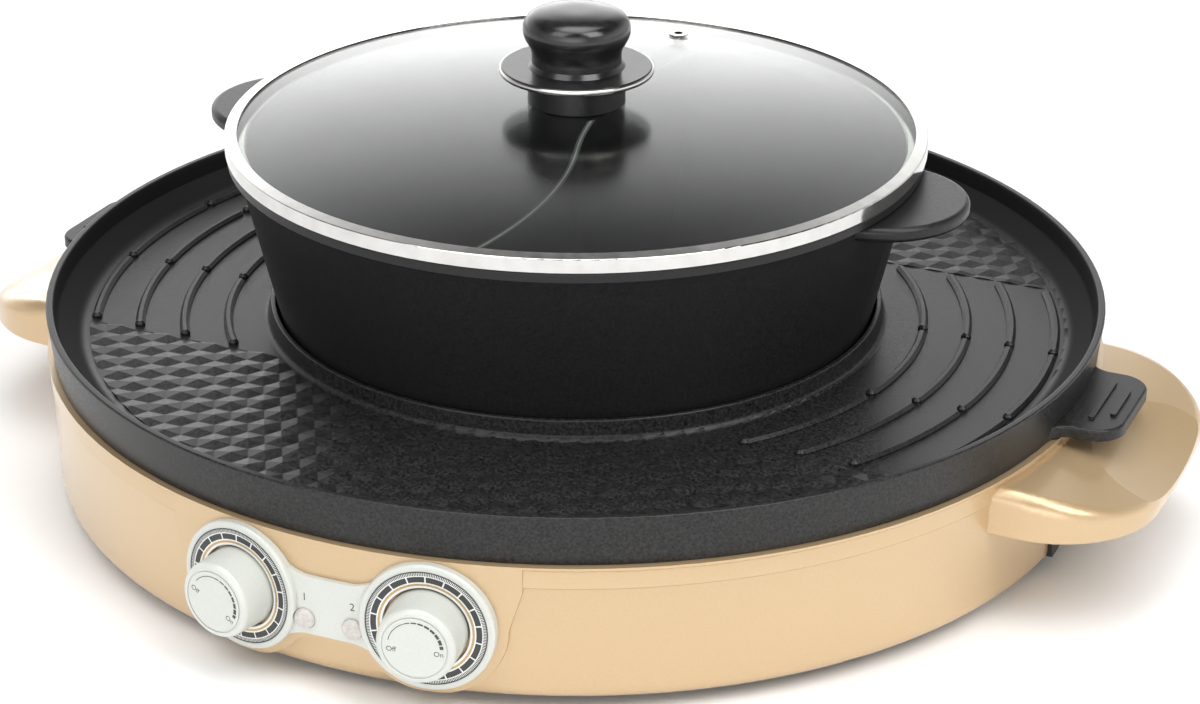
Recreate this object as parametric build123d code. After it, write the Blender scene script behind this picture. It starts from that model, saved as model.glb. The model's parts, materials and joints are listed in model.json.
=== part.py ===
from build123d import *
import os
from math import asin, atan2, cos, degrees, hypot, radians, sin, sqrt

# Electric hot pot grill: a round moulded base, a cast grill pan round its rim, a divided pot that stands
# on the hot plate through the middle of the pan, and a lift-off glass lid.
# Millimetres. +Z is up, Z = 0 is the table, the Z axis is the axis of the round base, the control panel
# faces -Y, and the two wing handles lie along the X axis. Azimuths are measured from -Y towards +X.
# Radii follow the pan's rim inwards and outwards by named widths, and heights follow the feet upwards.

# Clearances
SEAT = 0.3            # gap between pieces that lift off each other
FIT = 0.1             # gap round a piece that is pushed into its hole
RUNNING = 0.08        # radial gap round a turning shaft
POT_PLAY = 1.0        # room round the pot in the pan's collar, and round the lid's skirt in the pot
CUT_PAST = 10.0       # how far a cut runs on past the piece

# Feet and bottom cover
FOOT_HEIGHT = 5.5
FOOT_R = 11.0
FOOT_TAPER = 1.5
FOOT_EDGE_R = 1.0
FOOT_INSET = 42.0     # from the foot of the wall to the middle of a rubber foot
FOOT_COUNT = 4
COVER_T = 2.0
COVER_RECESS = 0.5
VENT_COUNT = 16
VENT_INSET = 108.0
VENT_LENGTH = 34.0
VENT_WIDTH = 5.0
COVER_SCREW_AZIMUTHS = (35.0, 105.0, 165.0, -165.0, -105.0, -35.0)
COVER_SCREW_INSET = 16.0
BOSS_R = 4.5
SCREW_R = 1.6
SCREW_HEAD_R = 3.2
SCREW_HEAD_H = 1.8
SCREW_LENGTH = 14.0

# Grill pan
PAN_RIM_R = 230.0
PAN_HEIGHT = 20.7
PAN_DRAFT = 2.3
PAN_WALL_T = 3.2
PAN_FLOOR_LIFT = 5.7  # from the skirt's lower edge to the cooking floor
PAN_FLOOR_T = 4.0
PAN_STEP_H = 7.0
PAN_STEP_W = 1.0
PAN_EDGE_R = 0.8
GUTTER_W = 15.5       # from the rim to the edge of the cooking floor
GUTTER_ROUND = 6.0
COOKING_W = 79.8      # from the edge of the cooking floor to the collar
COLLAR_T = 3.2
COLLAR_H = 8.5
COLLAR_DROP = 10.0
COLLAR_FOOT_R = 2.5
TAB_LENGTH = 22.0
TAB_HALF = 29.5
TAB_T = 4.8
TAB_CORNER_R = 13.0
TAB_FLARE_R = 9.0
TAB_EDGE_R = 1.2
TAB_BAR_W = 2.4
TAB_BAR_H = 1.0
TAB_BARS = ((14.0, 38.0), (6.5, 26.0))   # distance in from the tab's end, and length
RIB_EDGE = 5.0        # from the edge of the cooking floor to the outermost rib
RIB_COLLAR_GAP = 12.0
RIB_PITCH = 19.0
RIB_SPAN_HALF = 99.3  # every rib ends on a line this far from the X axis
RIB_SEGMENTS = 3
RIB_W = 4.0
RIB_H = 2.0
RIB_GAP = 3.0
BEAD_R = 2.2
BEAD_H = 2.4
RELIEF_PITCH = 13.4
RELIEF_H = 1.0
RELIEF_GROOVE = 0.25
RELIEF_MARGIN = 2.5   # bare floor round each field of relief
RELIEF_START = (4.35, -2.3)

# Base housing
BASE_HEIGHT = 59.0
RIM_OVERHANG = 0.6    # the pan's rim stands out past the top of the wall
WALL_DRAFT = 1.4
WALL_T = 3.0
BOTTOM_ROUND = 6.0
BOTTOM_LIP_T = 4.0
BOTTOM_LIP_W = 7.5
BELT_DROP = 9.5
BELT_STEP = 0.7
RIM_LIP = 1.0
SHELF_T = 3.0
SHELF_W = 23.4
LOCATING_RIB_T = 1.4
LOCATING_RIB_H = 2.5

# Raised tongue behind the control panel
TONGUE_PROUD = 1.0
TONGUE_HALF = 75.0
TONGUE_SHOULDER_DROP = 11.0
TONGUE_MARGIN = 3.0   # gold border round the trim plate
TONGUE_WAIST_R = 10.0

# Wing handles
WING_LENGTH = 44.0
WING_HALF = 80.0
WING_BOW = 4.0
WING_CORNER_R = 46.0
WING_ROOT_DEPTH = 17.4
WING_TOP_DROP = 2.5
WING_HEIGHT = 20.5
WING_CROWN_R = 140.0  # the top bows down from the base to the tip
WING_SHOULDER_R = 6.0
WING_BOTTOM_ROUND = 1.5
WING_WALL = 4.0
WING_TIP_T = 3.3
SCOOP_R = 280.0
SCOOP_SLANT = 22.0

# Pot and its divider
POT_SINK = 19.7       # the pot's bottom lies this far below the top of the base
POT_HEIGHT = 105.0
POT_WALL_SLOPE = 0.236
POT_WALL_T = 3.2
POT_FLOOR_T = 4.0
POT_BOTTOM_ROUND = 9.0
POT_LIP_H = 5.5
POT_LIP_W = 3.7
POT_LIP_ROUND = 1.0
EAR_REACH = 25.4
EAR_R = 38.0
EAR_T = 6.4
EAR_DROP = 4.7
EAR_ROUND = 2.4
DIVIDER_T = 2.8
DIVIDER_DROP = 7.3
DIVIDER_SWAY = 12.0

# Lid
BAND_LIP = 0.8
BAND_H = 5.8
BAND_T = 0.8
BAND_GRIP_W = 6.0
BAND_SKIRT_H = 4.5
GLASS_T = 4.0
GLASS_RISE = 11.5
LID_HOLE_R = 4.0
VENT_HOLE_R = 3.0
VENT_HOLE_INSET = 35.4
GROMMET_FLANGE_R = 4.4
GROMMET_WALL = 1.0
GROMMET_FLANGE_T = 0.8
KNOB_COLLAR_R = 21.0
KNOB_COLLAR_H = 12.8
KNOB_COLLAR_ROUND = 2.0
KNOB_DISC_R = 32.6
KNOB_DISC_T = 3.0
KNOB_HEIGHT = 25.0
KNOB_FOOT_FLARE = 1.6
KNOB_FOOT_H = 2.0
KNOB_NECK_R = 19.2
KNOB_NECK_H = 5.0
KNOB_CAP_R = 23.0
KNOB_CAP_H = 8.8
KNOB_CROWN_R = 14.3
KNOB_CROWN_DROP = 0.9
LID_WASHER_R = 14.0
LID_WASHER_T = 1.6
LID_SCREW_HEAD_R = 6.0
LID_SCREW_HEAD_H = 3.0
LID_SCREW_R = 2.5

# Control panel
DIAL_OFFSET = 40.0    # each dial's distance from the middle of the panel
DIAL_LIFT = 31.3
TRIM_T = 2.0
TRIM_PROUD = 3.2
TRIM_LOBE_R = 27.0
TRIM_WAIST_H = 25.0
TRIM_WAIST_R = 20.0
TRIM_WAIST_INSET = 1.5
TRIM_ROUND = 1.2
DIAL_RING_MARGIN = 2.6
DIAL_RING_W = 7.0
DIAL_RING_T = 1.2
DIAL_KNOB_GAP = 1.1
DIAL_KNOB_DRAFT = 0.7
DIAL_KNOB_LENGTH = 18.2
DIAL_KNOB_ROUND = 2.2
DIAL_KNOB_WALL = 1.8
DIAL_KNOB_FACE_T = 3.0
DIAL_KNOB_GROOVE_W = 0.6
DIAL_KNOB_GROOVE_D = 0.4
DIAL_HUB_R = 6.2
SHAFT_R = 3.0
SHAFT_FLAT = 1.4
LAMP_OFFSET = 10.25
LAMP_DROP = 6.1
LAMP_R = 4.4
LAMP_PROUD = 2.0
LAMP_LENGTH = 12.4
LAMP_DOME_R = 1.5
NEON_R = 3.0
NEON_LENGTH = 15.0

# Thermostats
PANEL_PAD_T = 2.7
PANEL_PAD_R = 15.5
THERMOSTAT_PLATE_T = 1.4
THERMOSTAT_PLATE_W = 30.0
THERMOSTAT_PLATE_H = 26.0
THERMOSTAT_R = 13.0
THERMOSTAT_DEPTH = 15.0
THERMOSTAT_BUSH_R = 4.8
BLADE_W = 6.0
BLADE_T = 0.8
BLADE_L = 7.0
BLADE_OFFSET = 7.0
NUT_R = 7.2
NUT_T = 2.0

# Heating parts
TUBE_R = 3.3
GRILL_TUBE_DROP = 9.0    # from the pan's underside to the middle of the tube
GRILL_TUBE_INSET = 20.0
GRILL_TUBE_PITCH = 26.0
GRILL_TUBE_GAP_AZIMUTH = 26.0
GRILL_TUBE_BEND_R = 10.0
GRILL_TUBE_LEG = 25.0
BRACKET_AZIMUTHS = (60.0, 120.0, 180.0, -120.0, -60.0)
BRACKET_W = 6.0
BRACKET_OVERHANG = 8.0
TRAY_T = 0.8
TRAY_FLANGE_W = 10.0
TRAY_TROUGH_INSET = 9.0
TRAY_TROUGH_DROP = 9.0
TRAY_WELL_GAP = 2.5      # from the pan's collar out to the wall of the well
TRAY_WELL_LEAN = 6.0
TUBE_HOLE_GAP = 1.2
HOT_PLATE_INSET = 21.4
HOT_PLATE_T = 8.0
HOT_PLATE_CHAMFER = 1.2
HOT_PLATE_GROOVE_W = 3.0
HOT_PLATE_GROOVE_D = 1.0
HOT_PLATE_GROOVE_INSETS = (10.0, 48.0)
PLATE_TUBE_INSET = 18.0
PLATE_TUBE_GAP_AZIMUTH = 14.0
PLATE_TUBE_LEG = 14.0
PLATE_TUBE_BEND_R = 8.0
POST_COUNT = 3
POST_R = 4.5
POST_H = 9.2
POST_INSET = 40.0
DRAIN_R = 4.5
CUTOUT_R = 9.0
CUTOUT_T = 6.0

# Power inlet and wiring
INLET_PROUD = 0.3
INLET_DEPTH = 29.0
INLET_Y = -6.0
INLET_W = 44.0
INLET_H = 26.0
INLET_EDGE_R = 2.0
INLET_RECESS_W = 36.0
INLET_RECESS_H = 18.0
INLET_RECESS_D = 15.0
INLET_RECESS_R = 3.0
PIN_R = 2.4
PIN_PITCH = 10.0
PIN_DROP = 3.0
PIN_TIP = 3.0
PIN_TAIL = 6.0
TERMINAL_AZIMUTH = 47.3
TERMINAL_INSET = 48.3
TERMINAL_W = 18.0
TERMINAL_L = 34.0
TERMINAL_H = 15.0
TERMINAL_CHAMFER = 1.5
TERMINAL_PITCH = 10.0
TERMINAL_HOLE_R = 2.0
WIRE_R = 1.5
WIRE_BEND_R = 9.0

# Radii that follow from the pan's rim
WALL_TOP_R = PAN_RIM_R - RIM_OVERHANG
WALL_BOTTOM_R = WALL_TOP_R - WALL_DRAFT
SHELF_R = WALL_TOP_R - SHELF_W
COVER_R = WALL_BOTTOM_R - BOTTOM_LIP_W - SEAT
COVER_SCREW_RING_R = WALL_BOTTOM_R - COVER_SCREW_INSET
FOOT_RING_R = WALL_BOTTOM_R - FOOT_INSET
VENT_RING_R = WALL_BOTTOM_R - VENT_INSET
TONGUE_R = WALL_TOP_R + TONGUE_PROUD
TONGUE_LOBE_R = TRIM_LOBE_R + TONGUE_MARGIN
WING_REACH = WALL_TOP_R + WING_LENGTH
WING_ROOT_X = WALL_TOP_R - WING_ROOT_DEPTH
PAN_SKIRT_R = PAN_RIM_R - PAN_DRAFT
PAN_FLOOR_R = PAN_RIM_R - GUTTER_W
TAB_REACH = PAN_RIM_R + TAB_LENGTH
COLLAR_R = PAN_FLOOR_R - COOKING_W
COLLAR_INNER_R = COLLAR_R - COLLAR_T
GRILL_TUBE_OUTER_R = SHELF_R - GRILL_TUBE_INSET
GRILL_TUBE_INNER_R = GRILL_TUBE_OUTER_R - GRILL_TUBE_PITCH
TRAY_FLANGE_R = SHELF_R + TRAY_FLANGE_W
TRAY_TROUGH_OUTER_R = SHELF_R - TRAY_TROUGH_INSET
TRAY_WELL_R = COLLAR_INNER_R + TRAY_WELL_GAP
TRAY_TROUGH_INNER_R = TRAY_WELL_R + TRAY_WELL_LEAN
INLET_FACE_X = sqrt(WALL_BOTTOM_R ** 2 - INLET_Y ** 2) + INLET_PROUD
INLET_BACK_X = INLET_FACE_X - INLET_DEPTH
TERMINAL_RING_R = WALL_BOTTOM_R - TERMINAL_INSET

# Distances of the control panel's faces from the Z axis
TRIM_FACE = TONGUE_R + TRIM_PROUD
DIAL_KNOB_FACE = TONGUE_R + DIAL_KNOB_LENGTH
LAMP_FACE = TONGUE_R + TRIM_T + LAMP_PROUD
LAMP_BACK = LAMP_FACE - LAMP_LENGTH
THERMOSTAT_FACE = WALL_BOTTOM_R - WALL_T - PANEL_PAD_T
DIAL_AZIMUTH = degrees(asin(DIAL_OFFSET / TONGUE_R))
LAMP_AZIMUTH = degrees(asin(LAMP_OFFSET / TONGUE_R))
DIAL_RING_R = TRIM_LOBE_R - DIAL_RING_MARGIN
DIAL_RING_INNER_R = DIAL_RING_R - DIAL_RING_W
DIAL_KNOB_R = DIAL_RING_INNER_R - DIAL_KNOB_GAP
DIAL_KNOB_FRONT_R = DIAL_KNOB_R - DIAL_KNOB_DRAFT

# Heights that follow from the feet upwards
COVER_Z = FOOT_HEIGHT
COVER_TOP_Z = COVER_Z + COVER_T
BASE_BOTTOM_Z = FOOT_HEIGHT - COVER_RECESS
BASE_TOP_Z = BASE_BOTTOM_Z + BASE_HEIGHT
BELT_Z = BASE_TOP_Z - BELT_DROP
WING_TOP_Z = BASE_TOP_Z - WING_TOP_DROP
WING_BOTTOM_Z = WING_TOP_Z - WING_HEIGHT
DIAL_Z = BASE_BOTTOM_Z + DIAL_LIFT
LAMP_Z = DIAL_Z - LAMP_DROP
INLET_Z = COVER_TOP_Z + FIT + INLET_H / 2
PAN_SKIRT_Z = BASE_TOP_Z + SEAT
PAN_RIM_Z = PAN_SKIRT_Z + PAN_HEIGHT
PAN_FLOOR_Z = PAN_SKIRT_Z + PAN_FLOOR_LIFT
PAN_STEP_Z = PAN_FLOOR_Z + PAN_STEP_H
TAB_TOP_Z = PAN_FLOOR_Z
COLLAR_TOP_Z = PAN_FLOOR_Z + COLLAR_H
COLLAR_BOTTOM_Z = PAN_FLOOR_Z - COLLAR_DROP
POT_BOTTOM_Z = BASE_TOP_Z - POT_SINK
POT_RIM_Z = POT_BOTTOM_Z + POT_HEIGHT
EAR_TOP_Z = POT_RIM_Z - EAR_DROP
DIVIDER_TOP_Z = POT_RIM_Z - DIVIDER_DROP
HOT_PLATE_Z = POT_BOTTOM_Z - SEAT - HOT_PLATE_T
WELL_FLOOR_Z = HOT_PLATE_Z - POST_H
TRAY_WELL_Z = WELL_FLOOR_Z - TRAY_T
PLATE_TUBE_END_Z = HOT_PLATE_Z - PLATE_TUBE_LEG
GRILL_TUBE_Z = PAN_FLOOR_Z - PAN_FLOOR_T - GRILL_TUBE_DROP
GRILL_TUBE_END_Z = GRILL_TUBE_Z - GRILL_TUBE_LEG
TRAY_TROUGH_Z = GRILL_TUBE_Z - TRAY_TROUGH_DROP
BAND_Z = POT_RIM_Z + SEAT
GLASS_RIM_Z = BAND_Z + BAND_H - BAND_T - FIT
GLASS_TOP_Z = GLASS_RIM_Z + GLASS_RISE
KNOB_DISC_Z = GLASS_TOP_Z + KNOB_COLLAR_H
KNOB_FOOT_Z = KNOB_DISC_Z + KNOB_DISC_T
KNOB_TOP_Z = KNOB_FOOT_Z + KNOB_HEIGHT
KNOB_CAP_Z = KNOB_TOP_Z - KNOB_CAP_H

# Radii of the pot, its plate and its lid
POT_BOTTOM_R = COLLAR_INNER_R - POT_PLAY - POT_WALL_SLOPE * (COLLAR_TOP_Z - POT_BOTTOM_Z)
POT_LIP_R = POT_BOTTOM_R + POT_WALL_SLOPE * (POT_HEIGHT - POT_LIP_H) + POT_LIP_W
EAR_CENTRE_X = POT_LIP_R + EAR_REACH - EAR_R
HOT_PLATE_R = POT_BOTTOM_R - HOT_PLATE_INSET
PLATE_TUBE_R = HOT_PLATE_R - PLATE_TUBE_INSET
POST_RING_R = HOT_PLATE_R - POST_INSET
BAND_R = POT_LIP_R + BAND_LIP
GLASS_RIM_R = BAND_R - BAND_T - FIT
VENT_Y = BAND_R - VENT_HOLE_INSET


def turned(points, rounds=None):
    """A solid of revolution about Z from (radius, height) corners, with some corners rounded."""
    face = make_face(Polyline(*points, close=True))
    for index, radius in (rounds or {}).items():
        corner = face.vertices().sort_by_distance(points[index])[0]
        face = fillet(corner, radius)
    return revolve(Plane.XZ * face, Axis.Z)


def drum(radius, low, high):
    """An upright cylinder on the Z axis between two heights."""
    return Pos(0, 0, low) * Cylinder(radius, high - low, align=(Align.CENTER, Align.CENTER, Align.MIN))


def around(azimuth, radius, z=0.0):
    """A place at an azimuth from the front, with its own X axis pointing outwards."""
    return Rot(0, 0, azimuth - 90) * Pos(radius, 0, z)


def panel_place(azimuth, z):
    """A plane on the Z axis whose own Z points outwards through the control panel."""
    a = radians(azimuth)
    return Plane(origin=(0, 0, z), x_dir=(cos(a), sin(a), 0), z_dir=(sin(a), -cos(a), 0))


def peg(radius, start, end):
    """A cylinder along the panel's outward direction, from one distance off the axis to another."""
    return Pos(0, 0, start) * Cylinder(radius, end - start, align=(Align.CENTER, Align.CENTER, Align.MIN))


def tube(path, radius):
    """A round bar along a path."""
    return sweep(Plane(path @ 0, z_dir=path % 0) * Circle(radius), path=path)


def slab(low, high):
    """A box between two corners."""
    size = [b - a for a, b in zip(low, high)]
    return Pos(*low) * Box(*size, align=(Align.MIN, Align.MIN, Align.MIN))


def both_sides(shape):
    """A shape and its copy turned half round the Z axis."""
    return shape + Rot(0, 0, 180) * shape


def pot_outer_r(z):
    return POT_BOTTOM_R + POT_WALL_SLOPE * (z - POT_BOTTOM_Z)


def wall_r(z):
    """Outer radius of the base wall below the belt."""
    return WALL_BOTTOM_R + (WALL_TOP_R - WALL_BOTTOM_R) * (z - BASE_BOTTOM_Z) / (BASE_TOP_Z - BASE_BOTTOM_Z)


def wing_outline(inset):
    """Plan of the right wing: straight sides, a bowed outer edge and round corners."""
    half = WING_HALF - inset
    corner_x = WING_REACH - WING_BOW - inset
    sides = Polyline((corner_x, half), (WING_ROOT_X, half), (WING_ROOT_X, -half), (corner_x, -half))
    outer = ThreePointArc((corner_x, -half), (WING_REACH - inset, 0), (corner_x, half))
    face = make_face([*sides.edges(), outer])
    return fillet(face.vertices().group_by(Axis.X)[-1], WING_CORNER_R - inset)


def wing_block(inset, low):
    """The wing's plan above a level, under a top that bows down from the base to the tip."""
    column = Pos(0, 0, low) * extrude(wing_outline(inset), amount=BASE_TOP_Z - low)
    axis = Pos(WING_ROOT_X, 0, WING_TOP_Z - WING_CROWN_R) * Rot(90, 0, 0)
    return column & (axis * Cylinder(WING_CROWN_R - inset, 2 * WING_REACH))


def scoop(grow):
    """Round cutter for the thumb hollow, whose lowest line slants down to the tip of the wing."""
    slant = radians(SCOOP_SLANT)
    tip_z = WING_BOTTOM_Z + WING_TIP_T
    place = Pos(WING_REACH + SCOOP_R * sin(slant), 0, tip_z + SCOOP_R * cos(slant))
    return place * (Rot(0, 90 + SCOOP_SLANT, 0) * Cylinder(SCOOP_R + grow, 2 * WING_REACH))


def wing():
    """One hollow wing handle for the +X side, with round shoulders and a thumb hollow, open underneath."""
    block = wing_block(0, WING_BOTTOM_Z)
    top = block.faces().sort_by(Axis.Z)[-1]
    block = fillet(top.edges().filter_by(lambda e: e.center().X > WING_ROOT_X + FIT), WING_SHOULDER_R)
    under = block.faces().sort_by(Axis.Z)[0]
    block = fillet(under.edges().filter_by(lambda e: e.center().X > WING_ROOT_X + FIT), WING_BOTTOM_ROUND)
    hollow = wing_block(WING_WALL, 0) - scoop(WING_WALL)
    root_r = wall_r(WING_BOTTOM_Z)
    inside = drum(root_r - WALL_T / 2, 0, BASE_TOP_Z)
    outside = drum(root_r + WALL_T / 2, 0, BASE_TOP_Z)
    return block - scoop(0) - inside - (hollow - outside)


def tongue():
    """The raised shield behind the control panel: straight flanks, and round the trim plate's lobes below."""
    top = BASE_TOP_Z - RIM_LIP
    shoulder = BASE_TOP_Z - TONGUE_SHOULDER_DROP
    lobe_half = DIAL_OFFSET + TONGUE_LOBE_R
    flanks = Polyline((TONGUE_HALF, top), (TONGUE_HALF, shoulder), (lobe_half, DIAL_Z), (-lobe_half, DIAL_Z),
                      (-TONGUE_HALF, shoulder), (-TONGUE_HALF, top), close=True)
    waist_h = TRIM_WAIST_H / 2 + TONGUE_MARGIN
    low = Pos(0, DIAL_Z) * Rectangle(2 * DIAL_OFFSET, waist_h, align=(Align.CENTER, Align.MAX))
    for x in (-DIAL_OFFSET, DIAL_OFFSET):
        low += Pos(x, DIAL_Z) * Circle(TONGUE_LOBE_R)
    corners = low.vertices().filter_by(lambda v: abs(v.Y - (DIAL_Z - waist_h)) < FIT)
    face = fillet(corners, TONGUE_WAIST_R) + make_face(flanks)
    block = extrude(Plane.XZ * face, amount=TONGUE_R + CUT_PAST)
    inner = WALL_BOTTOM_R - WALL_T / 2
    shell = turned([(inner, BASE_BOTTOM_Z), (TONGUE_R, BASE_BOTTOM_Z), (TONGUE_R, top), (inner, top)],
                   {1: min(BOTTOM_ROUND, TONGUE_R - inner - FIT)})
    return block & shell


def housing_wall():
    """The round wall with its belt, the shelf that carries the pan, and the lip round the bottom cover."""
    belt_low = wall_r(BELT_Z)
    belt_high = belt_low + BELT_STEP
    shelf_low = BASE_TOP_Z - SHELF_T
    lip_r = WALL_TOP_R + RIM_LIP
    points = [
        (WALL_BOTTOM_R - BOTTOM_LIP_W, BASE_BOTTOM_Z), (WALL_BOTTOM_R, BASE_BOTTOM_Z),
        (belt_low, BELT_Z), (belt_high, BELT_Z + BELT_STEP),
        (WALL_TOP_R, BASE_TOP_Z - 2 * RIM_LIP), (lip_r, BASE_TOP_Z - RIM_LIP), (lip_r, BASE_TOP_Z),
        (SHELF_R, BASE_TOP_Z), (SHELF_R, shelf_low), (WALL_TOP_R - WALL_T, shelf_low),
        (WALL_BOTTOM_R - WALL_T, BASE_BOTTOM_Z + BOTTOM_LIP_T),
        (WALL_BOTTOM_R - BOTTOM_LIP_W, BASE_BOTTOM_Z + BOTTOM_LIP_T),
    ]
    wall = turned(points, {1: BOTTOM_ROUND})
    rib_r = PAN_SKIRT_R - PAN_WALL_T - SEAT
    rib = drum(rib_r, BASE_TOP_Z, BASE_TOP_Z + LOCATING_RIB_H) - drum(
        rib_r - LOCATING_RIB_T, BASE_TOP_Z, BASE_TOP_Z + LOCATING_RIB_H)
    return wall + rib


def inlet_notch():
    """Cutter for the notch in the foot of the wall that takes the power inlet."""
    half = INLET_W / 2 + FIT
    top = INLET_Z + INLET_H / 2 + FIT
    return slab((INLET_BACK_X, INLET_Y - half, 0), (INLET_FACE_X + CUT_PAST, INLET_Y + half, top))


def base_housing():
    """The gold moulded shell, with wings, tongue, panel pads and screw bosses in one piece."""
    body = housing_wall() + tongue() + both_sides(wing())
    for azimuth in (-DIAL_AZIMUTH, DIAL_AZIMUTH):
        place = panel_place(azimuth, DIAL_Z)
        body += place * peg(PANEL_PAD_R, THERMOSTAT_FACE, WALL_BOTTOM_R)
        body -= place * peg(THERMOSTAT_BUSH_R + FIT, 0, TRIM_FACE)
    for azimuth in COVER_SCREW_AZIMUTHS:
        place = around(azimuth, COVER_SCREW_RING_R)
        body += place * drum(BOSS_R, COVER_TOP_Z, BASE_TOP_Z - SHELF_T)
        body -= place * drum(SCREW_R + FIT, COVER_Z, COVER_TOP_Z + SCREW_LENGTH)
    for azimuth in (-LAMP_AZIMUTH, LAMP_AZIMUTH):
        body -= panel_place(azimuth, LAMP_Z) * peg(LAMP_R + FIT, 0, TRIM_FACE)
    return body - inlet_notch()


def bottom_cover():
    """Flat cover with a ring of cooling slots and holes for its screws."""
    cover = drum(COVER_R, COVER_Z, COVER_TOP_Z)
    slot = extrude(SlotOverall(VENT_LENGTH, VENT_WIDTH), amount=2 * COVER_TOP_Z)
    for index in range(VENT_COUNT):
        cover -= around((index + 0.5) * 360 / VENT_COUNT, VENT_RING_R) * slot
    for azimuth in COVER_SCREW_AZIMUTHS:
        cover -= around(azimuth, COVER_SCREW_RING_R) * drum(SCREW_R + FIT, 0, 2 * COVER_TOP_Z)
    return cover


def cover_screws():
    """Pan-head screws that hold the bottom cover to the bosses."""
    head = drum(SCREW_HEAD_R, COVER_Z - SCREW_HEAD_H, COVER_Z)
    head = fillet(head.edges().group_by(Axis.Z)[0], SCREW_HEAD_H / 2)
    screw = head + drum(SCREW_R, COVER_Z, COVER_TOP_Z + SCREW_LENGTH - SEAT)
    return [around(a, COVER_SCREW_RING_R) * screw for a in COVER_SCREW_AZIMUTHS]


def rubber_feet():
    """Tapered rubber feet under the bottom cover."""
    foot = turned([(0, 0), (FOOT_R - FOOT_TAPER, 0), (FOOT_R, COVER_Z), (0, COVER_Z)], {1: FOOT_EDGE_R})
    return [around((i + 0.5) * 360 / FOOT_COUNT, FOOT_RING_R) * foot for i in range(FOOT_COUNT)]


def reflector_tray():
    """Pressed tray: a flange on the shelf, a trough under the grill tube and a well under the hot plate."""
    line = [(0, TRAY_WELL_Z), (TRAY_WELL_R, TRAY_WELL_Z), (TRAY_TROUGH_INNER_R, TRAY_TROUGH_Z),
            (TRAY_TROUGH_OUTER_R, TRAY_TROUGH_Z), (SHELF_R - FIT - TRAY_T, BASE_TOP_Z - TRAY_T / 2),
            (SHELF_R, BASE_TOP_Z), (TRAY_FLANGE_R, BASE_TOP_Z)]
    top = [(r, z + TRAY_T) for r, z in reversed(line)]
    tray = turned(line + top)
    for place in grill_tube_ends() + plate_tube_ends():
        tray -= Pos(*place) * drum(TUBE_R + TUBE_HOLE_GAP, 0, BASE_TOP_Z)
    return tray - drum(DRAIN_R, 0, BASE_TOP_Z)


def arc_on(radius, z, first, last):
    """A level arc about the Z axis from one azimuth to another."""
    ends = [around(a, radius, z).position for a in (first, (first + last) / 2, last)]
    return ThreePointArc(*ends)


def grill_tube_ends():
    """Plan places where the two legs of the grill tube go down."""
    return [(around(GRILL_TUBE_GAP_AZIMUTH, r).position.X, around(GRILL_TUBE_GAP_AZIMUTH, r).position.Y)
            for r in (GRILL_TUBE_INNER_R, GRILL_TUBE_OUTER_R)]


def plate_tube_ends():
    """Plan places where the two legs of the hot plate's tube go down."""
    return [(around(a, PLATE_TUBE_R).position.X, around(a, PLATE_TUBE_R).position.Y)
            for a in (180 - PLATE_TUBE_GAP_AZIMUTH, 180 + PLATE_TUBE_GAP_AZIMUTH)]


def leg(start, direction, end_z, bend_r):
    """A quarter bend from a level direction down to a straight leg, as a list of edges."""
    corner = Vector(*start) + Vector(*direction) * bend_r
    foot = Vector(corner.X, corner.Y, end_z)
    low = Vector(corner.X, corner.Y, start[2] - bend_r)
    bend = TangentArc(Vector(*start), low, tangent=Vector(*direction))
    return [bend, Line(low, foot)]


def grill_heating_tube():
    """Sheathed tube in two rings joined by a U-turn, with both legs bent down at the front."""
    gap = GRILL_TUBE_GAP_AZIMUTH
    middle_r = (GRILL_TUBE_OUTER_R + GRILL_TUBE_INNER_R) / 2
    turn_r = (GRILL_TUBE_OUTER_R - GRILL_TUBE_INNER_R) / 2
    far = 360 - gap
    outer_stop = leg_azimuth(GRILL_TUBE_OUTER_R, gap, GRILL_TUBE_BEND_R)
    inner_stop = leg_azimuth(GRILL_TUBE_INNER_R, gap, GRILL_TUBE_BEND_R)
    outer = arc_on(GRILL_TUBE_OUTER_R, GRILL_TUBE_Z, outer_stop, far)
    inner = arc_on(GRILL_TUBE_INNER_R, GRILL_TUBE_Z, far, inner_stop)
    tip = around(far + degrees(asin(turn_r / middle_r)), middle_r, GRILL_TUBE_Z).position
    turn = ThreePointArc(outer @ 1, tip, inner @ 0)
    start = leg(tuple(outer @ 0), tuple(-(outer % 0)), GRILL_TUBE_END_Z, GRILL_TUBE_BEND_R)
    end = leg(tuple(inner @ 1), tuple(inner % 1), GRILL_TUBE_END_Z, GRILL_TUBE_BEND_R)
    path = Wire([*start, outer, turn, inner, *end])
    return tube_from_end(path, start[1] @ 1)


def leg_azimuth(radius, azimuth, bend_r):
    """Azimuth where a ring stops so that its leg, one bend further on, stands at the given azimuth."""
    return azimuth + degrees(asin(bend_r / radius))


def tube_from_end(path, end):
    """A tube along a wire, with its section square to the vertical leg at one end."""
    return sweep(Plane(end, z_dir=(0, 0, 1)) * Circle(TUBE_R), path=path)


def tube_brackets():
    """Notched plates that carry the grill tube above the trough."""
    low = TRAY_TROUGH_Z + TRAY_T
    start = GRILL_TUBE_INNER_R - TUBE_R - BRACKET_OVERHANG
    end = GRILL_TUBE_OUTER_R + TUBE_R + BRACKET_OVERHANG / 2
    plate = slab((start, -BRACKET_W / 2, low), (end, BRACKET_W / 2, GRILL_TUBE_Z))
    for radius in (GRILL_TUBE_INNER_R, GRILL_TUBE_OUTER_R):
        ring = Pos(0, 0, GRILL_TUBE_Z) * Torus(radius, TUBE_R + FIT)
        plate -= ring
    return [around(azimuth, 0) * plate for azimuth in BRACKET_AZIMUTHS]


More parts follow.
